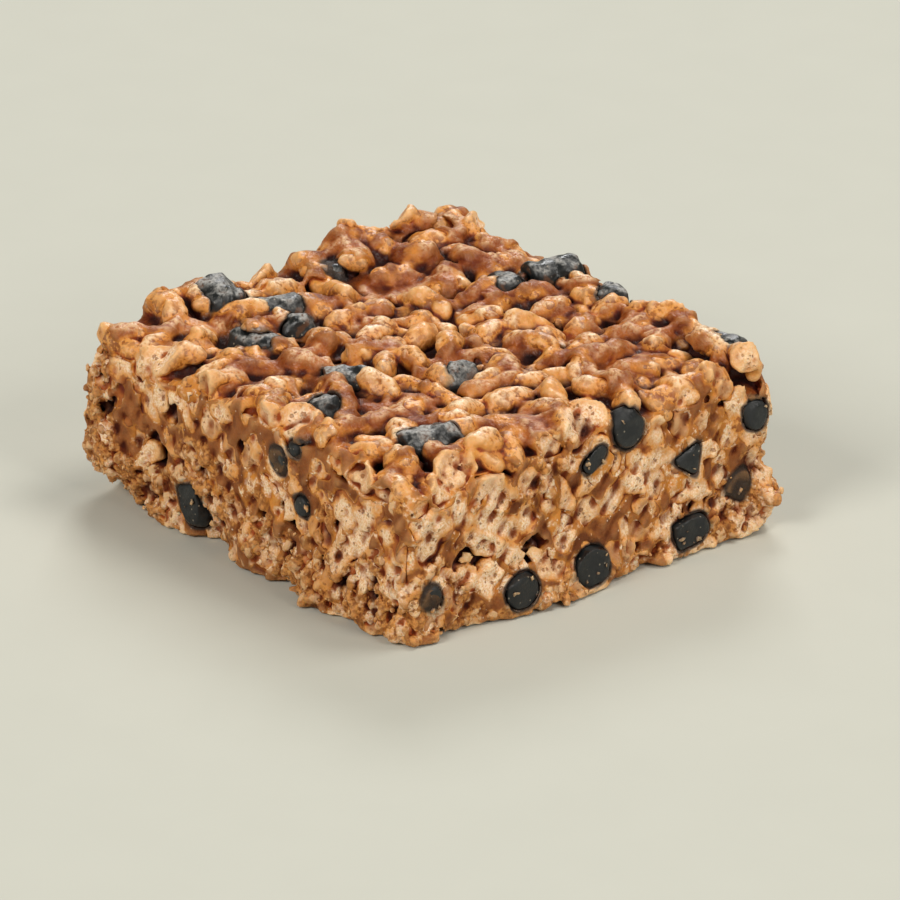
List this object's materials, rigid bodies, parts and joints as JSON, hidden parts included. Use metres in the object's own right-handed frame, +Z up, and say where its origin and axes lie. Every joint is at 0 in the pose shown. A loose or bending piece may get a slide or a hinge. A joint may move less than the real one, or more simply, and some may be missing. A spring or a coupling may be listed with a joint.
{
  "type": "date crispy bar",
  "caption": "Square-cut bar of puffed rice bound with date toffee, with chewy black rod pieces set in its top and cut through at its sides.",
  "frame": {"origin": "middle of the flat underside, which the bar rests on", "axes": "+Z up; +X along the slightly wider of the two cut widths, towards the right-hand cut side of the picture; -Y towards the left-hand cut side of the picture"},
  "size_m": [0.0798, 0.0742, 0.0315],
  "materials": {
    "rice_and_toffee": "puffed rice glazed with brown toffee, dry and porous where the knife cut it",
    "black_chew": "matt black chewy sweet, lightly dusted on top"
  },
  "bodies": {
    "root": {"crispy_bar": "rice_and_toffee", "black_rod_top_01": "black_chew", "black_rod_top_02": "black_chew", "black_rod_top_03": "black_chew", "black_rod_top_04": "black_chew", "black_rod_top_05": "black_chew", "black_rod_top_06": "black_chew", "black_rod_top_07": "black_chew", "black_rod_top_08": "black_chew", "black_rod_top_09": "black_chew", "black_rod_top_10": "black_chew", "black_rod_top_11": "black_chew", "black_rod_top_12": "black_chew", "black_rod_top_13": "black_chew", "black_rod_right_01": "black_chew", "black_rod_right_02": "black_chew", "black_rod_right_03": "black_chew", "black_rod_right_04": "black_chew", "black_rod_right_05": "black_chew", "black_rod_right_06": "black_chew", "black_rod_right_07": "black_chew", "black_rod_right_08": "black_chew", "black_rod_right_09": "black_chew", "black_rod_front_01": "black_chew", "black_rod_front_02": "black_chew", "black_rod_front_03": "black_chew", "black_rod_front_04": "black_chew", "black_rod_left_01": "black_chew", "black_rod_left_02": "black_chew", "black_rod_left_03": "black_chew", "black_rod_left_04": "black_chew", "black_rod_left_05": "black_chew", "black_rod_back_01": "black_chew", "black_rod_back_02": "black_chew", "black_rod_back_03": "black_chew", "black_rod_back_04": "black_chew", "black_rod_back_05": "black_chew"}
  },
  "joints": []
}
